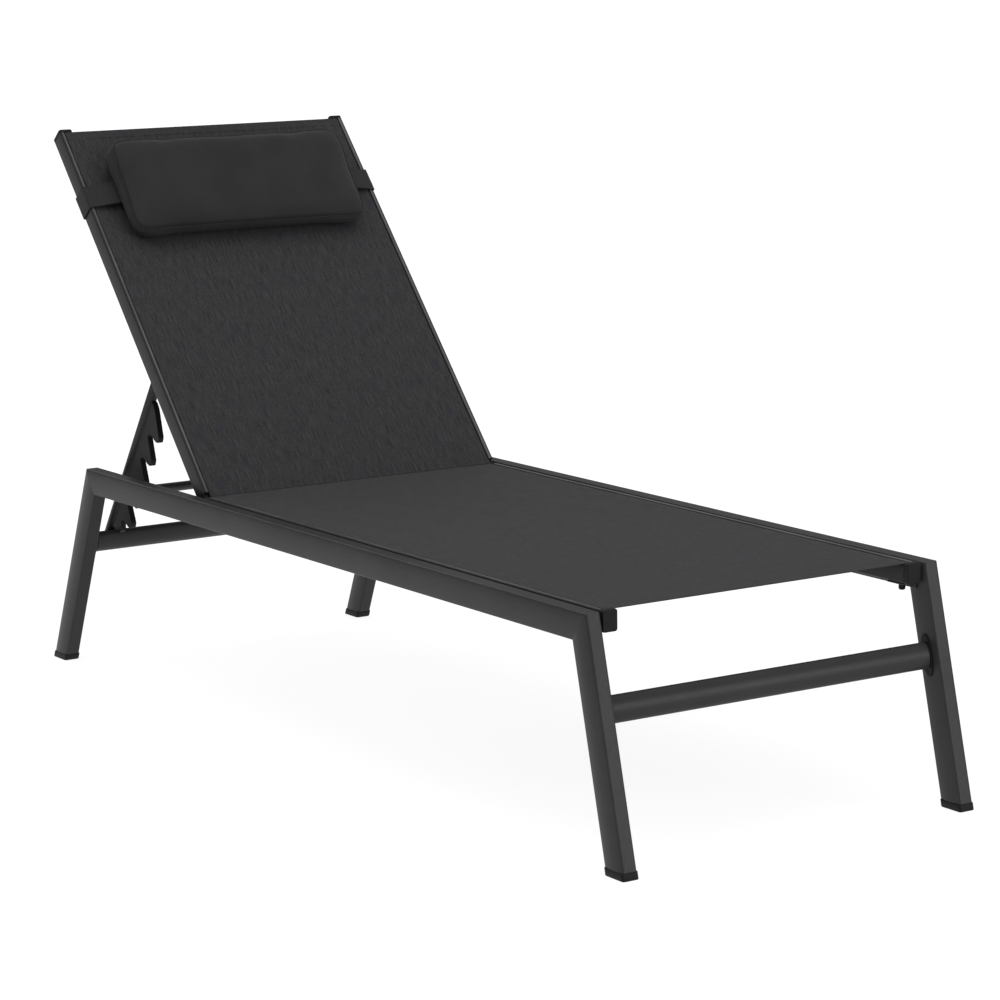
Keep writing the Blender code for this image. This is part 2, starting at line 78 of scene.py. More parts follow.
back = Vector(CAMERA_BACK).normalized()
level = Vector((0.0, 0.0, 1.0)).cross(back).normalized()
upright = back.cross(level)
across = math.cos(CAMERA_TILT) * level + math.sin(CAMERA_TILT) * upright
upward = math.cos(CAMERA_TILT) * upright - math.sin(CAMERA_TILT) * level
view = bpy.data.cameras.new("camera")
view.lens = LENS
view.clip_end = 400.0
camera = bpy.data.objects.new("camera", view)
camera.matrix_world = Matrix.Translation(CAMERA_AT) @ Matrix((across, upward, back)).transposed().to_4x4()
bpy.context.collection.objects.link(camera)
bpy.context.scene.camera = camera


# ---- side frames -----------------------------------------------------------------------
# Each side is three lengths of aluminium tube with bowed sides, mitred and welded at the
# two top corners, ground flush and powder coated in anthracite.
SIDE_HEIGHT = 0.363
FRONT_CORNER_X, REAR_CORNER_X = 0.792, -0.728
FRONT_SPLAY, REAR_SPLAY = 0.088, 0.152
TUBE_DEPTH, TUBE_WIDTH, TUBE_BULGE = 0.043, 0.028, 0.0025
TUBE_EDGE = 0.0020
SIDE_ROOM = 0.001
SIDE_Y = cad_high[1] - SIDE_ROOM - TUBE_WIDTH / 2
FOOT_HEIGHT = 0.012


class Wire:
    """An output socket of a finish. Arithmetic on wires and numbers adds Math nodes."""

    def __init__(self, finish, socket):
        self.finish = finish
        self.socket = socket

    def maths(self, operation, first, second):
        return self.finish.node("ShaderNodeMath", {"operation": operation}, {0: first, 1: second})

    def __add__(self, other):
        return self.maths("ADD", self, other)

    def __rsub__(self, other):
        return self.maths("SUBTRACT", other, self)

    def __mul__(self, other):
        return self.maths("MULTIPLY", self, other)

    __radd__ = __add__
    __rmul__ = __mul__


class Finish:
    """A material. node() adds any node: its type, its settings, then its sockets' values, which
    feed() sets or links. place() gives coordinates, and paint() feeds the shader itself."""

    def __init__(self, name, **values):
        self.material = bpy.data.materials.new(name)
        self.material.use_nodes = True
        self.tree = self.material.node_tree
        self.shader = self.tree.nodes["Principled BSDF"]
        for socket, value in values.items():
            self.feed(self.shader.inputs[socket.replace("_", " ")], value)

    def feed(self, socket, value):
        if isinstance(value, Wire):
            self.tree.links.new(value.socket, socket)
        else:
            socket.default_value = value

    def node(self, kind, settings, inputs, out=0):
        node = self.tree.nodes.new(kind)
        for name, value in settings.items():
            setattr(node, name, value)
        for name, value in inputs.items():
            self.feed(node.inputs[name], value)
        return Wire(self, node.outputs[out])

    def place(self, source="Object"):
        return self.node("ShaderNodeTexCoord", {}, {}, source)

    def scaled(self, vector, scale):
        return self.node("ShaderNodeMapping", {}, {"Vector": vector, "Scale": scale})

    def noise(self, vector, scale, detail=2.0):
        return self.node("ShaderNodeTexNoise", {}, {"Vector": vector, "Scale": scale, "Detail": detail})

    def step(self, value, low, high):
        """0 below low, 1 above high, and a smooth rise between."""
        return self.node("ShaderNodeMapRange", {"interpolation_type": "SMOOTHSTEP"},
                         {"Value": value, "From Min": low, "From Max": high})

    def mix(self, share, first, second):
        return self.node("ShaderNodeMix", {"data_type": "RGBA"}, {0: share, 6: first, 7: second}, 2)

    def bump(self, height, strength, distance):
        self.paint("Normal", self.node("ShaderNodeBump", {}, {
            "Height": height, "Strength": strength, "Distance": distance}))

    def paint(self, socket, value):
        self.feed(self.shader.inputs[socket], value)


def grey(level, blue):
    """A grey with its own amount of blue."""
    return (level, level, blue, 1.0)


def powder_coat(name, shade, highlight_band=None):
    """Satin anthracite powder coat: faint orange peel, a slow drift of tone, fine specks. The optional band,
    inner and outer |Y| on both sides of the centre, gets a painted highlight: the coat is painted lighter
    there."""
    coat = Finish(name, Specular_IOR_Level=0.15)
    here = coat.place()
    peel = coat.noise(here, 420.0, 3.0)
    specks = coat.noise(here, 1500.0, 1.0)
    drift = coat.noise(here, 7.0, 3.0)
    slow = coat.step(drift, 0.3, 0.7)
    tone = coat.mix(slow, grey(shade * 0.9, shade * 0.92), grey(shade * 1.1, shade * 1.12))
    colour = coat.mix(coat.step(specks, 0.60, 0.72) * 0.35, tone, grey(shade * 2.2, shade * 2.2))
    # Painted highlight: a lighter band along the top of the lip, standing in for light on its rounded edge,
    # stronger where the drift runs light.
    if highlight_band:
        inner, outer = highlight_band
        aside = coat.node("ShaderNodeSeparateXYZ", {}, {"Vector": here}, "Y")
        distance = coat.node("ShaderNodeMath", {"operation": "ABSOLUTE"}, {0: aside})
        beyond = coat.step(distance, inner - 0.0004, inner)
        within = 1.0 - coat.step(distance, outer, outer + 0.0006)
        colour = coat.mix(beyond * within * (0.6 + 0.4 * slow), colour, grey(0.105, 0.107))
    coat.paint("Base Color", colour)
    coat.paint("Roughness", 0.31 + 0.09 * coat.step(peel, 0.3, 0.7))
    coat.bump(peel + 0.4 * specks, 0.22, 0.00025)
    return coat.material


def rounded(corners, cut, steps=4):
    """A closed outline with softened corners. About each corner C, from A, which is cut back
    towards the corner before, to B, cut on towards the next, runs (1-t)^2 A + 2t(1-t) C + t^2 B."""
    c = np.asarray(corners, float)
    reach = np.broadcast_to(np.asarray(cut, float), len(c))[:, None]
    before = np.roll(c, 1, 0) - c
    ahead = np.roll(c, -1, 0) - c
    a = (c + reach * before / np.linalg.norm(before, axis=1, keepdims=True))[:, None]
    b = (c + reach * ahead / np.linalg.norm(ahead, axis=1, keepdims=True))[:, None]
    t = np.linspace(0, 1, steps + 1)[None, :, None]
    return ((1 - t) ** 2 * a + 2 * t * (1 - t) * c[:, None] + t ** 2 * b).reshape(-1, 2)


def box_outline(low, high, cut, steps=4):
    """The rounded outline of the box between two corners."""
    return rounded([(low[0], low[1]), (high[0], low[1]), (high[0], high[1]), (low[0], high[1])], cut, steps)


def dense(outline, step):
    """The closed outline with points added evenly along any side longer than step."""
    ahead = np.roll(outline, -1, 0) - outline
    parts = np.maximum(np.ceil(np.linalg.norm(ahead, axis=1) / step).astype(int), 1)
    which = np.repeat(np.arange(len(outline)), parts)
    share = (np.arange(parts.sum()) - np.repeat(np.cumsum(parts) - parts, parts)) / parts[which]
    return outline[which] + share[:, None] * ahead[which]


def extruded(outline, axis, stations):
    """One ring per station along the axis; the outline's numbers fill the other two axes."""
    rest = [k for k in range(3) if k != axis]
    rings = np.empty((len(stations), len(outline), 3))
    rings[:, :, axis] = np.asarray(stations)[:, None]
    rings[:, :, rest] = outline
    return rings


def turned(profile, axis, centre=(0.0, 0.0), around=40):
    """One circle for each (place along the axis, radius) of the profile."""
    profile = np.asarray(profile, float)
    angle = np.linspace(0, 2 * np.pi, around, endpoint=False)
    circle = np.stack([np.cos(angle), np.sin(angle)], axis=1)
    rings = extruded(circle, axis, profile[:, 0])
    rest = [k for k in range(3) if k != axis]
    rings[:, :, rest] = np.asarray(centre) + profile[:, 1, None, None] * circle
    return rings


def placed(points, at, turn=0.0):
    """The points turned about Y by turn degrees, then moved: x' = x cos + z sin, z' = z cos - x sin."""
    angle = math.radians(turn)
    x = points[..., 0] * math.cos(angle) + points[..., 2] * math.sin(angle)
    z = points[..., 2] * math.cos(angle) - points[..., 0] * math.sin(angle)
    return np.stack([x, points[..., 1], z], axis=-1) + np.asarray(at)


def lofted(rings, loop=False):
    """Quads from each ring to the next, with the two ends filled, or joined into a loop."""
    count, around = rings.shape[:2]
    index = np.arange(count * around).reshape(count, around)
    following = np.roll(index, -1, axis=0) if loop else index[1:]
    current = index if loop else index[:-1]
    quads = np.stack([current, np.roll(current, -1, 1), np.roll(following, -1, 1), following], axis=-1)
    faces = quads.reshape(-1, 4).tolist()
    if not loop:
        faces += [index[0][::-1].tolist(), index[-1].tolist()]
    return rings.reshape(-1, 3), faces


def piece(name, shape, material, body, slot, *nodes, soften=0.0, crease=38.0):
    """A closed mesh from (points, faces), facing out, on its body and standing for its nodes."""
    mesh = bpy.data.meshes.new(name)
    mesh.from_pydata(shape[0].tolist(), [], shape[1])
    work = bmesh.new()
    work.from_mesh(mesh)
    bmesh.ops.remove_doubles(work, verts=work.verts, dist=1e-6)
    bmesh.ops.recalc_face_normals(work, faces=work.faces)
    if work.calc_volume(signed=True) < 0:
        bmesh.ops.reverse_faces(work, faces=work.faces)
    work.to_mesh(mesh)
    work.free()
    mesh.shade_smooth()
    mesh.materials.append(material)
    made = bpy.data.objects.new(name, mesh)
    bpy.context.collection.objects.link(made)
    if soften:
        edge = made.modifiers.new("soft_edges", "BEVEL")
        edge.width = soften
        edge.segments = 3
        edge.limit_method = "ANGLE"
        edge.angle_limit = math.radians(crease)
        edge.harden_normals = True
    else:
        mesh.set_sharp_from_angle(angle=math.radians(crease))
    if body:
        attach(made, body)
    if nodes:
        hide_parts(*nodes)
    return made


def barrel_section():
    """A rounded rectangle whose sides bow out by bulge (1 - (2s - 1)^2), s the share of the depth."""
    half = TUBE_WIDTH / 2 - TUBE_BULGE
    outline = dense(box_outline((-half, -TUBE_DEPTH), (half, 0.0), TUBE_EDGE), 0.003)
    share = -outline[:, 1] / TUBE_DEPTH
    bow = TUBE_BULGE * (1 - (2 * share - 1) ** 2)
    outline[:, 0] += np.sign(outline[:, 0]) * bow * (np.abs(outline[:, 0]) > half - TUBE_EDGE)
    return outline


def side_tube(name, sign, corner_x, turn, fold, start, end):
    """A tube from a top corner. Its cut faces lie at start(depth) and end(depth) along it."""
    rings = extruded(barrel_section(), 0, (0.0, 1.0))
    depth = -rings[0, :, 2]
    rings[0, :, 0] = start(depth)
    rings[1, :, 0] = end(depth)
    rings[:, :, 2] = -fold * depth
    shape = lofted(placed(rings, (corner_x, sign * SIDE_Y, SIDE_HEIGHT), turn))
    piece(name + "_tube", shape, METAL, "seat_frame", "frame_metal", name)


METAL = powder_coat("anthracite_powder_coat", 0.029)
ENDS = (("front", FRONT_CORNER_X, FRONT_SPLAY, 1), ("rear", REAR_CORNER_X, REAR_SPLAY, -1))
leans = {}
for end, corner_x, splay, direction in ENDS:
    leg_length = math.hypot(splay, SIDE_HEIGHT)
    leans[end] = (SIDE_HEIGHT / leg_length, splay / leg_length)
mitres = {end: (1 - out) / down for end, (down, out) in leans.items()}

for side, sign in SIDES:
    side_tube(side + "_side_rail", sign, REAR_CORNER_X, 0.0, 1, lambda depth: mitres["rear"] * depth,
              lambda depth: FRONT_CORNER_X - REAR_CORNER_X - mitres["front"] * depth)
    for end, corner_x, splay, direction in ENDS:
        down, out = leans[end]
        turn = math.degrees(math.atan2(SIDE_HEIGHT, direction * splay))
        side_tube(f"{side}_{end}_leg", sign, corner_x, turn, direction, lambda depth: mitres[end] * depth,
                  lambda depth: (SIDE_HEIGHT - FOOT_HEIGHT - out * depth) / down)


# ---- foot caps -------------------------------------------------------------------------
# Moulded plastic caps in the legs' ends, almost flush with the tube all round, with
# softened edges, and cut level so that the foot stands flat.
FOOT_PROUD = 0.0002
FOOT_CORNER = 0.0042
FOOT_PROFILE = ((0.0, 0.0016), (0.0004, 0.0006), (0.0014, 0.0), (FOOT_HEIGHT - 0.0012, 0.0),
                (FOOT_HEIGHT - 0.0004, 0.0003), (FOOT_HEIGHT, 0.0009))


def moulded_plastic(name, shade, roughness):
    """Black plastic with the fine matt grain of a mould and a few lighter scuffs."""
    plastic = Finish(name, Specular_IOR_Level=0.12)
    here = plastic.place()
    grain = plastic.noise(here, 2200.0, 2.0)
    scuffs = plastic.noise(plastic.scaled(here, (60.0, 60.0, 400.0)), 1.0, 4.0)
    rubbed = plastic.step(scuffs, 0.62, 0.75)
    plastic.paint("Base Color", plastic.mix(rubbed * 0.5, grey(shade, shade * 1.05),
                                            grey(shade * 2.2, shade * 2.25)))
    plastic.paint("Roughness", roughness + 0.12 * rubbed + 0.06 * grain)
    plastic.bump(grain, 0.3, 0.0001)
    return plastic.material


PLASTIC = moulded_plastic("black_moulded_plastic", 0.010, 0.46)


def foot_cap(name, sign, corner_x, splay, direction, lean):
    """Rounded rectangles stacked upwards, each drawn in by its inset and slid along the leg's lean."""
    down, out = lean
    length = TUBE_DEPTH / down
    middle = corner_x + direction * (splay - length / 2)
    reach_x, reach_y = length / 2 + FOOT_PROUD, TUBE_WIDTH / 2 + FOOT_PROUD
    rings = []
    for height, inset in FOOT_PROFILE:
        outline = box_outline((inset - reach_x, inset - reach_y), (reach_x - inset, reach_y - inset),
                              FOOT_CORNER, 6)
        outline += (middle - direction * out / down * height, sign * SIDE_Y)
        rings.append(extruded(outline, 2, (height,))[0])
    piece(name + "_shoe", lofted(np.array(rings)), PLASTIC, "seat_frame", "black_plastic", name)


for side, sign in SIDES:
    for end, corner_x, splay, direction in ENDS:
        foot_cap(f"{side}_{end}_foot_cap", sign, corner_x, splay, direction, leans[end])


# ---- stretchers ------------------------------------------------------------------------
# Oval tubes across each pair of legs, leaning with them. Each end stands on a longer oval
# black gasket against the leg's inner face, with a dark joint round the tube.
STRETCHER_Z = 0.225
STRETCHER_HALF = (0.010, 0.020)
STRETCHER_EDGE = 0.0010
REAR_SHIFT = 0.0035
GASKET_HALF = (0.011, 0.032)
GASKET_THICKNESS, GASKET_GAP = 0.0025, 0.0005
FRAME_INNER_Y = cad_high[1] - SIDE_ROOM - TUBE_WIDTH


def oval(half_x, half_z, lean):
    """x = a cos t, z = b sin t, turned to the leg's lean."""
    t = np.linspace(0, 2 * np.pi, 72, endpoint=False)
    x, z = half_x * np.cos(t), half_z * np.sin(t)
    down, out = math.cos(lean), math.sin(lean)
    return np.stack([x * down + z * out, z * down - x * out], axis=1)


for end, corner_x, splay, direction in ENDS:
    down, out = leans[end]
    lean = math.atan2(-direction * out, down)
    outer_x = corner_x + direction * splay * (1 - STRETCHER_Z / SIDE_HEIGHT)
    shift = REAR_SHIFT if direction < 0 else 0.0
    centre = (outer_x - direction * TUBE_DEPTH / (2 * down) + shift, 0.0, STRETCHER_Z)
    half = FRAME_INNER_Y - GASKET_THICKNESS - 0.0008
    profile = ((-half, STRETCHER_EDGE), (STRETCHER_EDGE - half, 0.0), (half - STRETCHER_EDGE, 0.0),
               (half, STRETCHER_EDGE))
    rings = np.array([extruded(oval(STRETCHER_HALF[0] - inset, STRETCHER_HALF[1] - inset, lean), 1, (y,))[0]
                      for y, inset in profile])
    piece(end + "_stretcher_tube", lofted(placed(rings, centre)), METAL, "seat_frame", "frame_metal",
          end + "_stretcher")
    for side, sign in SIDES:
        on_leg = FRAME_INNER_Y - GASKET_GAP
        rings = extruded(oval(*GASKET_HALF, 0.0), 1, (sign * on_leg, sign * (on_leg - GASKET_THICKNESS)))
        piece(f"{side}_{end}_stretcher_gasket", lofted(placed(rings, centre, math.degrees(lean))), PLASTIC,
              "seat_frame", "black_plastic", f"{side}_{end}_stretcher_plate", soften=0.0006)


# ---- sling rails -----------------------------------------------------------------------
# Extrusions along both edges of the seat and the backrest: an outer lip with a painted highlight along its
# top, a groove that grips the sling's hem, and a lower ledge that the sling lies on.
RAIL_OUTER_Y, RAIL_WIDTH, RAIL_HALF = 0.2874, 0.024, 0.0155
LIP_WIDTH, GROOVE_WIDTH, GROOVE_DEPTH, LEDGE_DROP = 0.0075, 0.004, 0.0085, 0.0028
# The band of |Y| on the lip's top where a highlight is painted into the coat.
LIP_HIGHLIGHT_BAND = (RAIL_OUTER_Y - LIP_WIDTH + 0.0002, RAIL_OUTER_Y - 0.0036)
RAIL_INNER_Y = RAIL_OUTER_Y - RAIL_WIDTH
HINGE = np.array(joints["backrest_recline"]["pos_m"])
BACK_ANGLE = 49.2
BACK_LENGTH = 0.772
CAP_LENGTH = 0.012
KNUCKLE_RADIUS = 0.0124
BACK_RAIL_START = 0.017
SEAT_REAR = KNUCKLE_RADIUS + 0.0016
SEAT_FRONT = FRONT_CORNER_X - CAP_LENGTH - 0.001 - HINGE[0]
SEAT = (HINGE, 0.0)
BACK = (HINGE, BACK_ANGLE)


def rail_section(sign):
    """Corners in Y and Z about the hinge's height, each softened by its own cut."""
    ledge = RAIL_HALF - LEDGE_DROP
    floor = RAIL_HALF - GROOVE_DEPTH
    grip = LIP_WIDTH + GROOVE_WIDTH
    corners = ((0.0, -RAIL_HALF), (RAIL_WIDTH, -RAIL_HALF), (RAIL_WIDTH, ledge), (grip, ledge), (grip, floor),
               (LIP_WIDTH, floor), (LIP_WIDTH, RAIL_HALF), (0.0, RAIL_HALF))
    cuts = (0.0024, 0.0032, 0.0016, 0.0006, 0.0004, 0.0004, 0.0016, 0.0026)
    outline = rounded(corners, cuts, 5)
    return np.stack([sign * (RAIL_OUTER_Y - outline[:, 0]), outline[:, 1]], axis=1)


# The rails' coat carries the painted highlight on the lip.
RAIL_METAL = powder_coat("dark_powder_coat", 0.014, LIP_HIGHLIGHT_BAND)

for side, sign in SIDES:
    for place, body, where, low, high in (("seat", "seat_frame", SEAT, SEAT_REAR, SEAT_FRONT),
                                          ("back", "backrest", BACK, -BACK_LENGTH, -BACK_RAIL_START)):
        shape = lofted(placed(extruded(rail_section(sign), 0, (low, high)), *where))
        piece(f"{side}_{place}_extrusion", shape, RAIL_METAL, body, "frame_metal", f"{side}_{place}_rail")


# ---- rail end caps ---------------------------------------------------------------------
# Black plastic plugs in the open ends of the sling rails, a little larger than the
# extrusion, with rounded corners and softened edges.
CAP_PROUD = 0.0006

for side, sign in SIDES:
    for place, body, where, low, high in (
            ("seat", "seat_frame", SEAT, SEAT_FRONT + 0.0002, SEAT_FRONT + CAP_LENGTH),
            ("back", "backrest", BACK, -BACK_LENGTH - 0.006, -BACK_LENGTH - 0.0002)):
        outline = box_outline((RAIL_INNER_Y - CAP_PROUD, -RAIL_HALF - CAP_PROUD),
                              (RAIL_OUTER_Y + CAP_PROUD, RAIL_HALF + CAP_PROUD), 0.0045, 6) * (sign, 1)
        shape = lofted(placed(extruded(outline, 0, (low, high)), *where))
        piece(f"{side}_{place}_end_plug", shape, PLASTIC, body, "black_plastic",
              f"{side}_{place}_rail_cap", soften=0.0014)


# ---- cross tubes and the catch bar -----------------------------------------------------
# Round tubes welded between the sling rails keep the slings tight. A thinner fixed bar
# between the side rails, on a small round foot at each end, takes the prop's hooks.
CROSS_RADIUS = 0.011
CROSS_DROP = 0.0015
SEAT_CROSS_X = (0.640, 0.120)
BACK_CROSS_AT = (0.120, 0.580)
CATCH_BAR = (-0.621, 0.3335)
CATCH_RADIUS = 0.008
CATCH_FOOT = ((0.0, 0.0112), (0.0004, 0.0119), (0.0018, 0.0119), (0.0022, 0.0112),
              (0.0024, CATCH_RADIUS + 0.0010), (0.0038, CATCH_RADIUS))


def straight_tube(half, radius):
    """A tube along Y with a fillet weld at each end: the radius grows by 1.6 mm over the last 3 mm."""
    grow = np.array([0.0016, 0.0009, 0.0002, 0.0])
    back_off = np.array([0.0, 0.0006, 0.0016, 0.0030])
    ends = np.stack([-half + back_off, radius + grow], axis=1)
    return turned(np.concatenate([ends, ends[::-1] * (-1, 1)]), 1)


def cross_tube(name, along, body, where):
    """A welded tube from one sling rail to the other, at a place along them."""
    rings = straight_tube(RAIL_INNER_Y - 0.0003, CROSS_RADIUS) + (along, 0.0, -CROSS_DROP)
    piece(name + "_welded", lofted(placed(rings, *where)), METAL, body, "frame_metal", name)


for number, x in enumerate(SEAT_CROSS_X, 1):
    cross_tube(f"seat_cross_tube_{number}", x - HINGE[0], "seat_frame", SEAT)
for number, along in enumerate(BACK_CROSS_AT, 1):
    cross_tube(f"back_cross_tube_{number}", -along, "backrest", BACK)

foot = np.array(CATCH_FOOT) - (FRAME_INNER_Y - 0.0009, 0.0)
bar = turned(np.concatenate([foot, foot[::-1] * (-1, 1)]), 1, CATCH_BAR)
piece("catch_bar_welded", lofted(bar), METAL, "seat_frame", "frame_metal", "catch_bar")


# ---- lugs and hand bolts ---------------------------------------------------------------
# A small welded angle on each side rail carries the seat rail, and a plastic-headed hand
# bolt from below clamps the two together. Its head has eight grips.
LUG_THICKNESS, LUG_FLANGE, LUG_HALF_LENGTH = 0.0025, 0.010, 0.018
LUG_X = (("front", 0.760), ("rear", -0.285))
LUG_TOP = HINGE[2] - RAIL_HALF - 0.0003
GRIPS = 8
BOLT_INSET = 0.0145
HAND_BOLT = ((-0.0105, 0.0024), (-0.0102, 0.0036), (-0.0094, 0.0047), (-0.0080, 0.0052), (-0.0040, 0.0053),
             (-0.0028, 0.0050), (-0.0018, 0.0044), (0.0, 0.0044))

for side, sign in SIDES:
    for place, x in LUG_X:
        outer, inner = FRAME_INNER_Y - 0.0006, RAIL_INNER_Y + 0.001
        web, under = outer - LUG_THICKNESS, LUG_TOP - LUG_THICKNESS
        corners = np.array([(outer, LUG_TOP), (outer, LUG_TOP - LUG_FLANGE), (web, LUG_TOP - LUG_FLANGE),
                            (web, under), (inner, under), (inner, LUG_TOP)]) * (sign, 1)
        shape = lofted(extruded(rounded(corners, 0.0009), 0, (x - LUG_HALF_LENGTH, x + LUG_HALF_LENGTH)))
        piece(f"{side}_{place}_angle", shape, METAL, "seat_frame", "frame_metal", f"{side}_{place}_lug",
              soften=0.0005)
        profile = np.array(HAND_BOLT) + (under - 0.0003, 0.0)
        rings = turned(profile, 2, around=GRIPS * 8)
        angle = np.linspace(0, 2 * np.pi, GRIPS * 8, endpoint=False)
        on_head = (profile[:, 1] > 0.0046)[:, None, None]
        rings[:, :, :2] *= 1 - 0.055 * np.clip(np.cos(GRIPS * angle), 0, 1)[None, :, None] * on_head
        rings[:, :, :2] += (x, sign * (RAIL_INNER_Y + BOLT_INSET))
        piece(f"{side}_{place}_hand_screw", lofted(rings), PLASTIC, "seat_frame", "black_plastic",
              f"{side}_{place}_hand_bolt")


# ---- hinge bolts and knuckles ----------------------------------------------------------
# A plastic plug in the lower end of each backrest rail turns on a steel bolt that runs
# from the inside through the plug into the side rail. The bolt's head has a hex socket.
BOLT_RADIUS = 0.0040
HEAD_RADIUS = 0.0065
PLUG_RELIEF = 0.004


def black_steel():
    """Black zinc-plated steel: fine turned rings of roughness and a few bright rubs."""
    steel = Finish("black_plated_steel", Metallic=0.85)
    here = steel.place()
    marks = steel.noise(here, 700.0, 3.0)
    steel.paint("Base Color", steel.mix(steel.step(marks, 0.55, 0.75), grey(0.040, 0.042), grey(0.10, 0.10)))
    steel.paint("Roughness", 0.30 + 0.2 * marks)
    steel.bump(marks, 0.15, 0.0001)
    return steel.material


STEEL = black_steel()


def socket_bolt(head, tip, sign, radius):
    """From the bottom of the hex socket out over the head and along the shank, as rings about Y."""
    socket = 0.0028
    face = head - 0.0046
    profile = [(head - 0.0022, 0.0004), (head - 0.0022, socket), (head - 0.0044, socket),
               (face, socket + 0.0002), (face, radius - 0.0010), (head - 0.0042, radius - 0.0003),
               (head - 0.0036, radius), (head, radius), (head, BOLT_RADIUS), (tip, BOLT_RADIUS)]
    rings = turned(np.array(profile) * (sign, 1), 1, around=36)
    angle = np.linspace(0, 2 * np.pi, 36, endpoint=False)
    hexagon = math.cos(math.pi / 6) / np.cos(np.mod(angle, math.pi / 3) - math.pi / 6)
    rings[:4, :, [0, 2]] *= hexagon[None, :, None]
    return rings


for side, sign in SIDES:
    rings = socket_bolt(RAIL_INNER_Y - 0.0003, FRAME_INNER_Y + 0.008, sign, HEAD_RADIUS) + HINGE
    piece(side + "_hinge_screw", lofted(rings), STEEL, "hinge_pins", "black_steel", side + "_hinge_bolt")
    turn = np.linspace(math.pi / 2, -math.pi / 2, 25)
    nose = np.stack([np.cos(turn), np.sin(turn)], axis=1) * KNUCKLE_RADIUS
    tail_x = -BACK_RAIL_START + 0.0003
    tail = np.array([(tail_x, -KNUCKLE_RADIUS), (tail_x, KNUCKLE_RADIUS - PLUG_RELIEF)])
    faces = (sign * (RAIL_INNER_Y + 0.0001), sign * (RAIL_OUTER_Y - 0.0001))
    rings = extruded(np.concatenate([nose, tail]), 1, faces)
    piece(side + "_hinge_plug", lofted(placed(rings, *BACK)), PLASTIC, "backrest", "black_plastic",
          side + "_hinge_knuckle", soften=0.0008, crease=30.0)


# ---- slings ----------------------------------------------------------------------------
# Charcoal mesh of coated yarn, slightly slubbed, stretched from groove to groove. It is
# one cloth with a fold at the hinge, drawn as two sheets that meet in the fold.
CLOTH = 0.0012
CLOTH_Z = RAIL_HALF - LEDGE_DROP + 0.0003 + CLOTH / 2
FOLD_AT = CLOTH_Z * math.tan(math.radians(BACK_ANGLE) / 2)
HEM = 0.016
SEAT_SAG, BACK_SAG = 0.0022, 0.0020
ROLL, ROLL_REACH = 0.0045, 0.0022
ROLL_FROM, ROLL_RISE = 0.014, 0.006
FINE_START, FINE_END = 0.06, 0.03
SEAT_BEND, BACK_BEND = 0.020, 0.022


def sling_mesh():
    """Coated yarns: warp slubs run along the cloth, weft flecks across, over a fine basket weave."""
    cloth = Finish("charcoal_sling_mesh", Specular_IOR_Level=0.16, Sheen_Weight=0.04, Sheen_Roughness=0.5)
    flat = cloth.place("UV")
    slubs = cloth.noise(cloth.scaled(flat, (620.0, 34.0, 1.0)), 1.0, 3.0)
    fine = cloth.noise(cloth.scaled(flat, (1100.0, 150.0, 1.0)), 1.0, 2.0)
    flecks = cloth.noise(cloth.scaled(flat, (70.0, 640.0, 1.0)), 1.0, 2.0)
    patches = cloth.noise(cloth.scaled(flat, (46.0, 20.0, 1.0)), 1.0, 2.0)
    warp = cloth.node("ShaderNodeTexWave", {"wave_type": "BANDS", "bands_direction": "X"},
                      {"Vector": flat, "Scale": 230.0, "Distortion": 0.0})
    weft = cloth.node("ShaderNodeTexWave", {"wave_type": "BANDS", "bands_direction": "Y"},
                      {"Vector": flat, "Scale": 230.0, "Distortion": 0.0})
    dark, light = (0.0150, 0.0150, 0.0160, 1.0), (0.048, 0.0475, 0.0500, 1.0)
    yarn = cloth.mix(cloth.step(0.55 * slubs + 0.3 * fine + 0.15 * flecks, 0.36, 0.64), dark, light)
    cool = cloth.mix(cloth.step(patches, 0.56, 0.74) * 0.55, yarn, (0.022, 0.022, 0.034, 1.0))
    warm = cloth.mix(cloth.step(1.0 - patches, 0.60, 0.76) * 0.30, cool, (0.036, 0.031, 0.025, 1.0))
    cloth.paint("Base Color", cloth.mix((1.0 - warp * weft) * 0.22, warm, (0.007, 0.007, 0.008, 1.0)))
    cloth.paint("Roughness", 0.62 + 0.2 * slubs)
    cloth.bump(0.55 * warp * weft + 0.45 * slubs, 0.35, 0.0005)
    return cloth.material


SLING = sling_mesh()


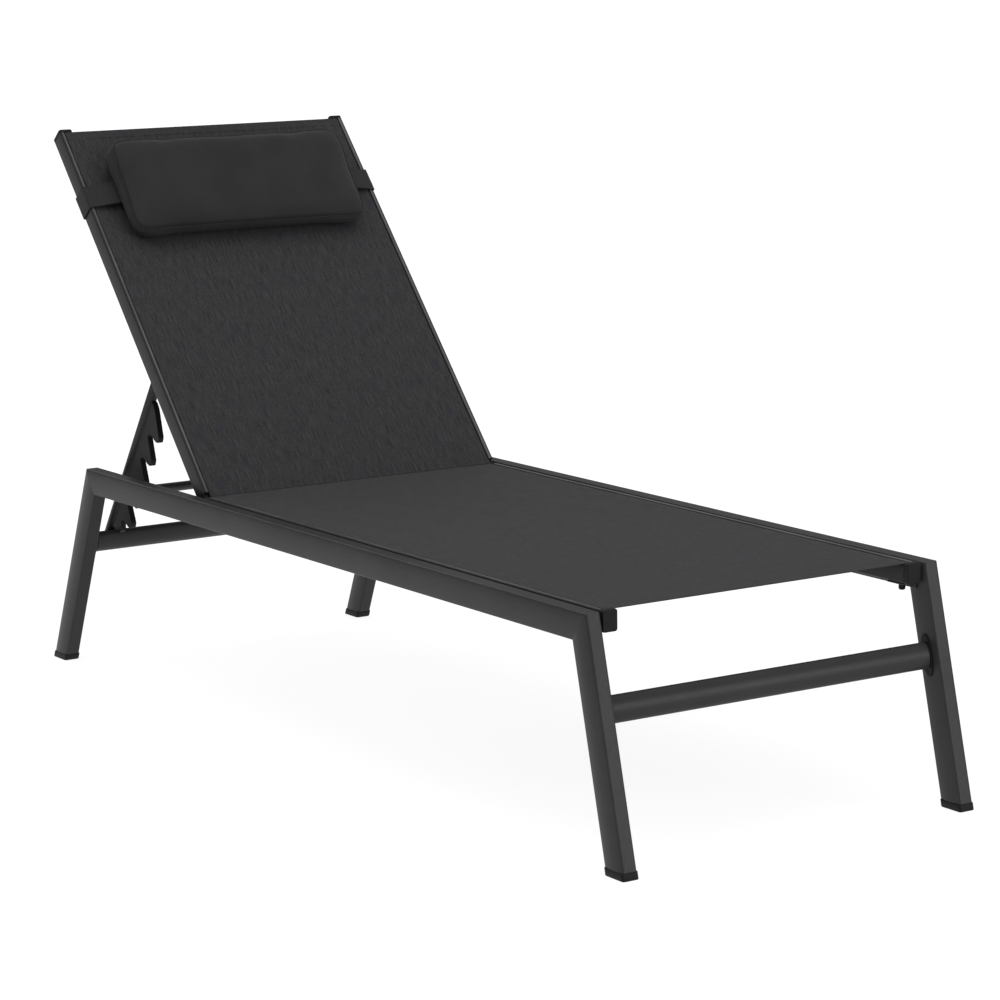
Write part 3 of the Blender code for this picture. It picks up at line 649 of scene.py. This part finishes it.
def sling_sheet(name, low, high, sag, where, node):
    """Over u across and v along: flat but for sag (1 - (y/w)^2) sin(pi v)^0.6, with a thicker hem at
    the far end and, from 14 mm off the hinge, each edge rolled down into the groove."""
    width = RAIL_OUTER_Y - LIP_WIDTH - 0.0016
    inner = np.linspace(-1, 1, 61) * (width - ROLL_REACH)
    roll = np.linspace(0, 1, 7)[1:]
    over = ROLL_REACH * np.sin(roll * math.pi / 2)
    drop = ROLL * (1 - np.cos(roll * math.pi / 2))
    y = np.concatenate([-(inner[-1] + over)[::-1], inner, inner[-1] + over])
    fall = np.concatenate([drop[::-1], np.zeros(len(inner)), drop])
    near_fold = min(abs(low), abs(high))
    fine = np.linspace(0, FINE_START, 25)
    run = np.linspace(FINE_START, abs(high - low) - FINE_END, 90)[1:]
    edge = abs(high - low) - FINE_END + np.linspace(0, FINE_END, 25)[1:]
    along = near_fold + np.concatenate([fine, run, edge])
    x = along if high > 0 else -along
    share = (along - along[0]) / (along[-1] - along[0])
    u, v = np.meshgrid(y, x)
    _, s = np.meshgrid(y, share)
    _, a = np.meshgrid(y, along)
    dip = sag * (1 - (u / width) ** 2) * np.sin(math.pi * s) ** 0.6
    ripple = 0.00025 * np.sin(u * 61.0 + 3.0 * np.sin(v * 9.0)) * np.sin(math.pi * s)
    lap = 0.0007 * np.clip((a - (along[-1] - HEM)) / 0.0008, 0, 1)
    held = np.clip((a - ROLL_FROM) / ROLL_RISE, 0, 1)
    z = CLOTH_Z - dip + ripple + lap - fall[None, :] * held
    points = np.stack([v, u, z], axis=-1)
    rows, columns = u.shape
    index = np.arange(rows * columns).reshape(rows, columns)
    quads = np.stack([index[:-1, :-1], index[1:, :-1], index[1:, 1:], index[:-1, 1:]], axis=-1).reshape(-1, 4)
    mesh = bpy.data.meshes.new(name)
    mesh.from_pydata(placed(points, *where).reshape(-1, 3).tolist(), [], quads.tolist())
    corner = np.array([loop.vertex_index for loop in mesh.loops])
    flat = np.stack([u.ravel(), v.ravel()], axis=1)[corner]
    layer = mesh.uv_layers.new(name="cloth")
    layer.data.foreach_set("uv", flat.astype(np.float32).ravel())
    if mesh.polygons[0].normal.z < 0:
        mesh.flip_normals()
    mesh.shade_smooth()
    mesh.materials.append(SLING)
    made = bpy.data.objects.new(name, mesh)
    bpy.context.collection.objects.link(made)
    thick = made.modifiers.new("cloth_thickness", "SOLIDIFY")
    thick.thickness = CLOTH
    thick.offset = 0.0
    thick.use_even_offset = False
    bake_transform(made)
    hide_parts(node)


seat_end = placed(np.array([SEAT_BEND, 0.0, CLOTH_Z]), *SEAT)
seat_fold = placed(np.array([FOLD_AT, 0.0, CLOTH_Z]), *SEAT)
back_fold = placed(np.array([-FOLD_AT, 0.0, CLOTH_Z]), *BACK)
back_end = placed(np.array([-BACK_BEND, 0.0, CLOTH_Z]), *BACK)
sling_sheet("seat_sling_cloth", FOLD_AT, SEAT_FRONT - 0.0003, SEAT_SAG, SEAT, "seat_sling")
sling_sheet("back_sling_cloth", -FOLD_AT, -BACK_LENGTH + 0.0003, BACK_SAG, BACK, "back_sling")


# ---- hem rods --------------------------------------------------------------------------
# Thin black plastic rods, pushed in along each groove after the cloth, swell the hem so
# that it can't pull out.
ROD_RADIUS, ROD_EDGE, ROD_SHORT = 0.0016, 0.0006, 0.002

for side, sign in SIDES:
    for place, body, where, low, high in (
            ("seat", "seat_frame", SEAT, SEAT_REAR + ROD_SHORT, SEAT_FRONT - ROD_SHORT),
            ("back", "backrest", BACK, ROD_SHORT - BACK_LENGTH, -BACK_RAIL_START - ROD_SHORT)):
        centre = (sign * (RAIL_OUTER_Y - LIP_WIDTH - GROOVE_WIDTH / 2), RAIL_HALF - GROOVE_DEPTH + 0.0019)
        profile = [(low, ROD_RADIUS - ROD_EDGE), (low + ROD_EDGE, ROD_RADIUS), (high - ROD_EDGE, ROD_RADIUS),
                   (high, ROD_RADIUS - ROD_EDGE)]
        rod = turned(profile, 0, centre, 16)
        piece(f"{side}_{place}_hem_rod", lofted(placed(rod, *where)), PLASTIC, body, "black_plastic",
              f"{side}_{place}_spline")


# ---- the prop --------------------------------------------------------------------------
# Two round tubes swing from brackets on the backrest rails and are joined at their lower
# ends. Each carries a rack of five blunt hooks that drop over the catch bar.
PROP_AT, PROP_ANGLE = 0.300, 56.0
PROP_Y, PROP_RADIUS, PROP_LENGTH, PROP_TOP = 0.2505, 0.00925, 0.422, 0.008
PROP_CROSS = 0.006
PROP = (np.array(joints["prop_fold"]["pos_m"]), -PROP_ANGLE)
RACK_HALF = 0.005
RACK_START = 0.094
RACK_SLOTS_AT = (0.149, 0.202, 0.252, 0.302, 0.349)
RACK_BACK, RACK_FLOOR, RACK_TIP = -(PROP_RADIUS + 0.0004), -0.0290, -0.0640
EAR_HALF_LENGTH, EAR_PLATE, EAR_RISE = 0.014, 0.0025, 0.010


def rack_outline():
    """Hook after hook: each rises from the floor on a slant, ends in a round tip and runs
    back along a hollow to its slot. Every corner is softened by its own cut."""
    corners = [(-RACK_START, RACK_BACK, 0.001), (-RACK_START, -0.015, 0.002),
               (-RACK_START - 0.0035, -0.0235, 0.002)]
    for before, edge in zip((RACK_START,) + RACK_SLOTS_AT, RACK_SLOTS_AT):
        corners += [(-0.0080 - before, RACK_FLOOR - 0.0005, 0.0022),
                    (0.0176 - edge, RACK_TIP + 0.0015, 0.0040),
                    (0.0060 - edge, RACK_TIP - 0.0002, 0.0046),
                    (0.0028 - edge, RACK_TIP + 0.0120, 0.0040),
                    (0.0035 - edge, RACK_FLOOR - 0.0090, 0.0030),
                    (-0.0024 - edge, RACK_FLOOR - 0.0008, 0.0022),
                    (-0.0056 - edge, RACK_FLOOR, 0.0008)]
    corners += [(-edge - 0.0200, RACK_FLOOR - 0.010, 0.004), (-edge - 0.0290, RACK_FLOOR - 0.007, 0.003),
                (-edge - 0.0340, RACK_BACK, 0.001)]
    corners = np.array(corners)
    return rounded(corners[:, :2], corners[:, 2], 5)


for side, sign in SIDES:
    profile = [(-PROP_LENGTH, PROP_RADIUS - 0.0006), (-PROP_LENGTH + 0.0006, PROP_RADIUS),
               (PROP_TOP - 0.0030, PROP_RADIUS), (PROP_TOP - 0.0010, PROP_RADIUS - 0.0010),
               (PROP_TOP, PROP_RADIUS - 0.0034)]
    shape = lofted(placed(turned(profile, 0, (sign * PROP_Y, 0.0)), *PROP))
    piece(side + "_prop_leg", shape, METAL, "prop", "frame_metal", side + "_prop_tube")
    rings = extruded(rack_outline(), 1, (sign * PROP_Y - RACK_HALF, sign * PROP_Y + RACK_HALF))
    piece(side + "_rack_hooks", lofted(placed(rings, *PROP)), PLASTIC, "prop", "black_plastic",
          side + "_rack", soften=0.0009)
    outer, face, under = RAIL_OUTER_Y - 0.006, RAIL_INNER_Y - 0.0003, -RAIL_HALF - 0.0003
    web, foot = face - EAR_PLATE, under - 0.004
    corners = np.array([(face, EAR_RISE), (face, under), (outer, under), (outer, foot), (web, foot),
                        (web, EAR_RISE)]) * (sign, 1)
    stations = (-PROP_AT - EAR_HALF_LENGTH, -PROP_AT + EAR_HALF_LENGTH)
    shape = lofted(placed(extruded(rounded(corners, 0.0008), 0, stations), *BACK))
    piece(side + "_prop_ear", shape, METAL, "backrest", "frame_metal", side + "_prop_bracket", soften=0.0005)
    rings = socket_bolt(PROP_Y - PROP_RADIUS - 0.0003, RAIL_INNER_Y - 0.0003, sign, HEAD_RADIUS) + PROP[0]
    piece(side + "_prop_screw", lofted(rings), STEEL, "prop_pins", "black_steel", side + "_prop_bolt")
rings = straight_tube(PROP_Y - PROP_RADIUS - 0.0003, PROP_CROSS) + (PROP_CROSS - PROP_LENGTH, 0.0, 0.0)
piece("prop_cross_tube_welded", lofted(placed(rings, *PROP)), METAL, "prop", "frame_metal", "prop_cross_tube")


# ---- pillow ----------------------------------------------------------------------------
# A foam-filled head cushion in a plain tight weave: a front panel, a boxing strip and a
# back panel, with a seam round each panel, lying on the backrest's sling.
PILLOW_AT = (0.520, 0.726)
PILLOW_HALF_WIDTH = 0.246
PILLOW_BASE, PILLOW_TOP = RAIL_HALF + 0.0008, 0.0885
PILLOW_TAPER = 0.44
SWELL_CAP, SWELL_ROOM = 0.009, 0.004
SEAM_INSET, SEAM_DIP, SEAM_REACH = 0.010, 0.0022, 0.0040
SEAM_HEIGHTS = (PILLOW_TOP - 0.020, PILLOW_BASE + 0.012)


def pillow_cloth():
    """Soft dark cloth: a fine plain weave, a faint nap and slow changes of tone."""
    cover = Finish("pillow_cover_cloth", Specular_IOR_Level=0.15, Sheen_Weight=0.06, Sheen_Roughness=0.45)
    here = cover.place()
    nap = cover.noise(here, 900.0, 3.0)
    threads = cover.noise(cover.scaled(here, (2400.0, 500.0, 2400.0)), 1.0, 2.0)
    drift = cover.noise(here, 14.0, 2.0)
    tone = cover.mix(cover.step(drift, 0.35, 0.65), grey(0.0190, 0.0195), grey(0.0225, 0.0230))
    cover.paint("Base Color", cover.mix(cover.step(nap, 0.45, 0.7) * 0.25, tone, grey(0.030, 0.031)))
    cover.paint("Roughness", 0.70 + 0.15 * threads)
    cover.bump(0.6 * nap + 0.4 * threads, 0.2, 0.0003)
    return cover.material


PILLOW = pillow_cloth()


def signed_power(value, power):
    """sign(v) |v|^p."""
    return np.sign(value) * np.abs(value) ** power


def boxed_shape(low, high, roundness, rows=48, columns=96):
    """A box with round edges: x, y, z = signed powers of the sines and cosines on a sphere."""
    middle, half = (np.array(low) + high) / 2, (np.array(high) - low) / 2
    lift = np.linspace(-math.pi / 2, math.pi / 2, rows)[1:-1, None]
    turn = np.linspace(-math.pi, math.pi, columns, endpoint=False)[None, :]
    thick, plan = roundness
    ring = signed_power(np.cos(lift), thick)
    x = ring * signed_power(np.cos(turn), plan)
    y = ring * signed_power(np.sin(turn), plan)
    z = np.broadcast_to(signed_power(np.sin(lift), thick), x.shape)
    return lofted(np.stack([x, y, z], axis=-1) * half + middle)


def points_of(mesh):
    """The mesh's points as rows of x, y and z."""
    points = np.empty(len(mesh.vertices) * 3)
    mesh.vertices.foreach_get("co", points)
    return points.reshape(-1, 3)


def swelled(thing, pressure, cap):
    """Inflates the cloth for twenty frames, then keeps each point's move under the cap."""
    mesh = thing.data
    before = points_of(mesh)
    cloth = thing.modifiers.new("swell", "CLOTH")
    cloth.settings.use_pressure = True
    cloth.settings.uniform_pressure_force = pressure
    cloth.settings.effector_weights.gravity = 0.0
    cloth.point_cache.frame_start = 1
    cloth.point_cache.frame_end = 20
    for number in range(1, 21):
        bpy.context.scene.frame_set(number)
    grown = thing.evaluated_get(bpy.context.evaluated_depsgraph_get())
    move = points_of(grown.data) - before
    length = np.linalg.norm(move, axis=1, keepdims=True)
    move *= np.minimum(1.0, cap / np.maximum(length, 1e-9))
    thing.modifiers.remove(cloth)
    bpy.context.scene.frame_set(1)
    mesh.vertices.foreach_set("co", (before + move).ravel())
    mesh.update()


def applied(thing, kind, **settings):
    """Adds a modifier, sets it and makes its result the piece's own mesh."""
    modifier = thing.modifiers.new("step", kind)
    for name, value in settings.items():
        setattr(modifier, name, value)
    bpy.context.view_layer.objects.active = thing
    with bpy.context.temp_override(object=thing, active_object=thing):
        bpy.ops.object.modifier_apply(modifier=modifier.name)


def tapered(points):
    """Thinner towards the lower edge: z' = base + (z - base)(1 - taper s), s from 0 on top to 1 below."""
    share = np.clip((points[:, 0] + PILLOW_AT[1]) / (PILLOW_AT[1] - PILLOW_AT[0]), 0.0, 1.0)
    return PILLOW_BASE + (points[:, 2] - PILLOW_BASE) * (1 - PILLOW_TAPER * share)


def squared_gaps(points, path):
    """|p - q|^2 = p.p + q.q - 2 p.q for every point p and every place q on the path."""
    return (points ** 2).sum(1)[:, None] + (path ** 2).sum(1)[None, :] - 2 * points @ path.T


def seam_path(points, inset, height):
    """A round-cornered loop at a height, each place moved to the cover's nearest point and evened."""
    low = (-PILLOW_AT[1] + inset, -PILLOW_HALF_WIDTH + inset)
    high = (-PILLOW_AT[0] - inset, PILLOW_HALF_WIDTH - inset)
    loop = dense(box_outline(low, high, 0.026, 10), 0.004)
    flat = np.column_stack([loop, np.full(len(loop), height)])
    flat[:, 2] = tapered(flat)
    path = points[squared_gaps(points, flat).argmin(0)]
    for _ in range(6):
        path = (np.roll(path, 1, 0) + 2 * path + np.roll(path, -1, 0)) / 4
    return path


def corded(path, radius, around=8):
    """A closed cord: at each place on the path a circle square to the path's direction."""
    ahead = np.roll(path, -1, 0) - np.roll(path, 1, 0)
    ahead /= np.linalg.norm(ahead, axis=1, keepdims=True)
    side = np.cross(ahead, (0.0, 0.0, 1.0))
    side /= np.linalg.norm(side, axis=1, keepdims=True)
    up = np.cross(side, ahead)
    angle = np.linspace(0, 2 * np.pi, around, endpoint=False)[None, :, None]
    rings = path[:, None] + radius * (np.cos(angle) * side[:, None] + np.sin(angle) * up[:, None])
    return lofted(rings, loop=True)


pillow = piece("pillow_cushion", boxed_shape(
    (-PILLOW_AT[1] + SWELL_ROOM, -PILLOW_HALF_WIDTH + SWELL_ROOM, PILLOW_BASE),
    (-PILLOW_AT[0] - SWELL_ROOM, PILLOW_HALF_WIDTH - SWELL_ROOM, PILLOW_TOP - 3 * SWELL_ROOM), (0.36, 0.19)),
    PILLOW, None, "pillow_cloth", "pillow", crease=180.0)
applied(pillow, "REMESH", mode="VOXEL", voxel_size=0.005, use_smooth_shade=True)
swelled(pillow, 4.0, SWELL_CAP)
applied(pillow, "SMOOTH", factor=0.5, iterations=40)
applied(pillow, "SUBSURF", levels=1, render_levels=1)
points = points_of(pillow.data)
points[:, 2] = np.maximum(points[:, 2], PILLOW_BASE)
points[:, 2] = tapered(points)
seams = [seam_path(points, SEAM_INSET, height) for height in SEAM_HEIGHTS]
normals = np.empty(len(points) * 3)
pillow.data.vertices.foreach_get("normal", normals)
gaps = np.minimum(*(squared_gaps(points, seam).min(1) for seam in seams))
points -= normals.reshape(-1, 3) * (SEAM_DIP * np.exp(-gaps / SEAM_REACH ** 2))[:, None]
pillow.data.vertices.foreach_set("co", placed(points, *BACK).ravel())
pillow.data.update()
pillow.data.shade_smooth()
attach(pillow, "backrest")
for name, seam in zip(("front", "back"), seams):
    points, faces = corded(seam, 0.0008)
    piece(f"pillow_{name}_seam", (placed(points, *BACK), faces), PILLOW, "backrest", "pillow_cloth")


# ---- pillow straps ---------------------------------------------------------------------
# Wide black elastic sewn under each end of the pillow. It runs out over the sling's edge
# and is pulled round the backrest's rail.
STRAP_AT = (0.606, 0.650)
STRAP = 0.0018


def elastic():
    """Ribbed black elastic webbing, the ribs running along the strap."""
    band = Finish("black_elastic_webbing", Specular_IOR_Level=0.25, Sheen_Weight=0.05)
    here = band.place()
    fuzz = band.noise(here, 1800.0, 3.0)
    weave = band.noise(band.scaled(here, (1300.0, 90.0, 1300.0)), 1.0, 2.0)
    band.paint("Base Color", band.mix(band.step(weave, 0.35, 0.65), grey(0.008, 0.0084), grey(0.017, 0.0174)))
    band.paint("Roughness", 0.62 + 0.2 * fuzz)
    band.bump(0.7 * weave + 0.3 * fuzz, 0.35, 0.0003)
    return band.material


ELASTIC = elastic()


def ribbon(corners, cut, thickness):
    """A band round the open path with softened corners: the path moved out and in by half its thickness."""
    path = rounded(corners, [0.0004] + [cut] * (len(corners) - 2) + [0.0004], 6)[6:-6]
    along = np.gradient(path, axis=0)
    along /= np.linalg.norm(along, axis=1, keepdims=True)
    normal = np.stack([-along[:, 1], along[:, 0]], axis=1) * thickness / 2
    return np.concatenate([path + normal, (path - normal)[::-1]])


for side, sign in SIDES:
    outer, inner, edge = RAIL_OUTER_Y + 0.0016, RAIL_INNER_Y - 0.0020, RAIL_HALF + 0.0016
    corners = np.array([(0.214, 0.0300), (outer, edge), (outer, -edge), (inner, -edge), (inner, 0.001)])
    band = ribbon(corners, 0.0030, STRAP) * (sign, 1)
    rings = extruded(band, 0, np.linspace(-STRAP_AT[1], -STRAP_AT[0], 9))
    piece(side + "_strap_band", lofted(placed(rings, *BACK)), ELASTIC, "backrest", "strap_elastic",
          side + "_pillow_strap", soften=0.0004, crease=60.0)


# ---- floor and light -------------------------------------------------------------------
# A plain pale floor that glows a little, a surround that is dim at the horizon and pale
# overhead, one broad lamp from above and three narrow ones that draw the bright edges.
FLOOR_REACH = 150.0
floor_mesh = bpy.data.meshes.new("floor")
corners = [(x * FLOOR_REACH, y * FLOOR_REACH, 0.0) for x, y in ((-1, -1), (1, -1), (1, 1), (-1, 1))]
floor_mesh.from_pydata(corners, [], [(0, 1, 2, 3)])
floor = bpy.data.objects.new("floor", floor_mesh)
bpy.context.collection.objects.link(floor)
floor_mesh.materials.append(Finish("pale_floor", Base_Color=grey(0.17, 0.17), Roughness=0.9,
                                   Specular_IOR_Level=0.0, Emission_Color=grey(1.0, 1.0),
                                   Emission_Strength=0.90).material)
floor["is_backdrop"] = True

world = bpy.data.worlds.new("studio")
world.use_nodes = True
backdrop = world.node_tree.nodes["Background"]
direction = world.node_tree.nodes.new("ShaderNodeTexCoord")
parts = world.node_tree.nodes.new("ShaderNodeSeparateXYZ")
glow = world.node_tree.nodes.new("ShaderNodeMapRange")
glow.interpolation_type = "SMOOTHSTEP"
glow.inputs["From Min"].default_value = 0.05
glow.inputs["From Max"].default_value = 0.95
glow.inputs["To Min"].default_value = 0.12
glow.inputs["To Max"].default_value = 0.85
world.node_tree.links.new(direction.outputs["Generated"], parts.inputs["Vector"])
world.node_tree.links.new(parts.outputs["Z"], glow.inputs["Value"])
world.node_tree.links.new(glow.outputs["Result"], backdrop.inputs["Strength"])
backdrop.inputs["Color"].default_value = (1.0, 1.0, 1.0, 1.0)
bpy.context.scene.world = world


def soft_sun(name, towards, strength, spread):
    """Parallel light that travels the given way, softened by the lamp's angular size in degrees."""
    lamp = bpy.data.lights.new(name, "SUN")
    lamp.energy = strength
    lamp.angle = math.radians(spread)
    thing = bpy.data.objects.new(name, lamp)
    thing.rotation_euler = Vector(towards).to_track_quat("-Z", "Y").to_euler()
    bpy.context.collection.objects.link(thing)


soft_sun("overhead_softbox", (-0.25, 0.15, -1.0), 0.88, 60.0)
soft_sun("head_end_strip", (0.82, 0.17, -0.54), 0.26, 20.0)
soft_sun("near_side_strip", (-0.147, 0.734, -0.66), 0.30, 20.0)
soft_sun("foot_end_strip", (-0.806, -0.544, -0.227), 0.66, 20.0)
bpy.context.scene.view_settings.view_transform = "Standard"

low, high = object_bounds()
